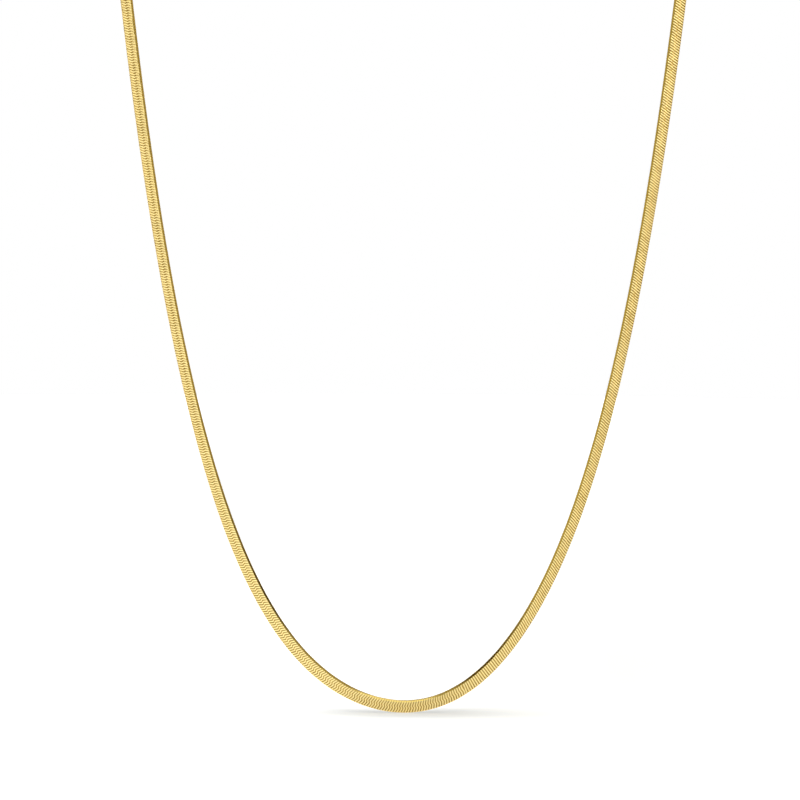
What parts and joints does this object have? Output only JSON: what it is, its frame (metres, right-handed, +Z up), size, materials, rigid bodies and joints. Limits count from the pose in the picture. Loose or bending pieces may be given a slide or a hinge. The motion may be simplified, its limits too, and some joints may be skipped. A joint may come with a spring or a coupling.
{
  "type": "flat herringbone chain necklace",
  "caption": "Slim flat herringbone chain necklace in polished yellow metal, hanging in a deep rounded curve and closed at the nape by a plain clasp.",
  "frame": {"origin": "the nape: the middle of the closed clasp, at the back of the neck", "axes": "+Z up, the hanging front curve lies in an upright plane towards -Y and faces -Y, +X is towards the right of the picture"},
  "size_m": [0.108, 0.0545, 0.1678],
  "materials": {
    "chain_gold": "bright polished flat wire, woven in fine slanted rows with dark gaps between them",
    "clasp_gold": "bright polished, with very fine brushing along its length"
  },
  "bodies": {
    "root": {"chain": "chain_gold", "clasp": "clasp_gold"}
  },
  "joints": []
}
